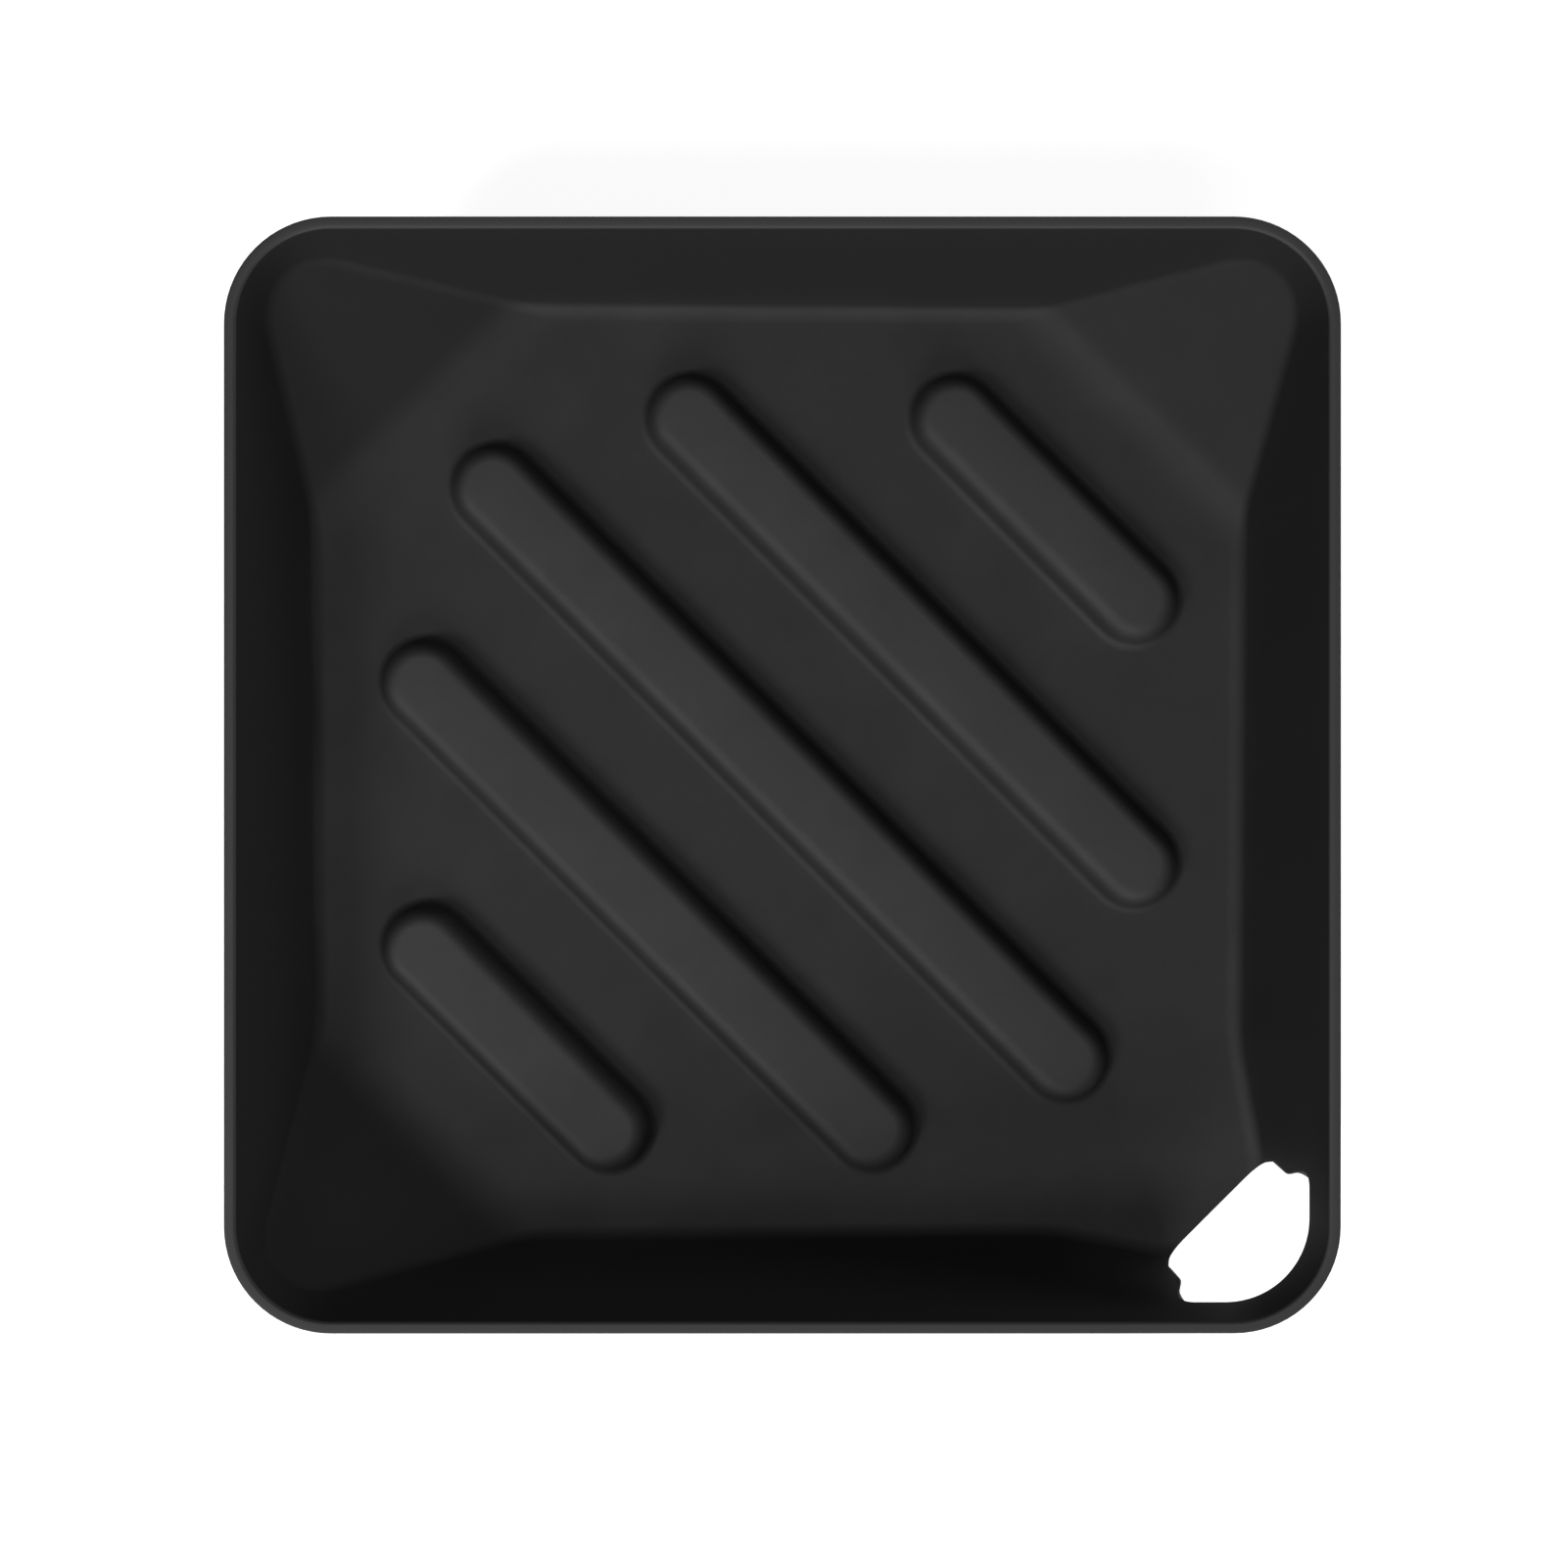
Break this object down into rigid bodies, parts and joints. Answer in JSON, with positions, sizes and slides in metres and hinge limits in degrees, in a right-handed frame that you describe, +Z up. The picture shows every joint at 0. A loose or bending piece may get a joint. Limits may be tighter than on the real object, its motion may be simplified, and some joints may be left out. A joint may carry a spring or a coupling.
{
  "type": "sink drying tray",
  "caption": "Square black tray with leaning walls, raised diagonal drying ribs and a drain window in one corner, on soft foot pads.",
  "frame": {"origin": "under the middle of the tray's square, on the surface that the foot pads stand on", "axes": "+Z up; the drain corner is at +X and -Y, the front right one"},
  "size_m": [0.12, 0.12, 0.023],
  "materials": {
    "tray": "fine matt moulded texture, black",
    "foot_pad": "matt, black"
  },
  "bodies": {
    "root": {"tray": "tray", "foot_pad_back_left": "foot_pad", "foot_pad_back_right": "foot_pad", "foot_pad_front_left": "foot_pad", "foot_pad_front_right": "foot_pad"}
  },
  "joints": []
}
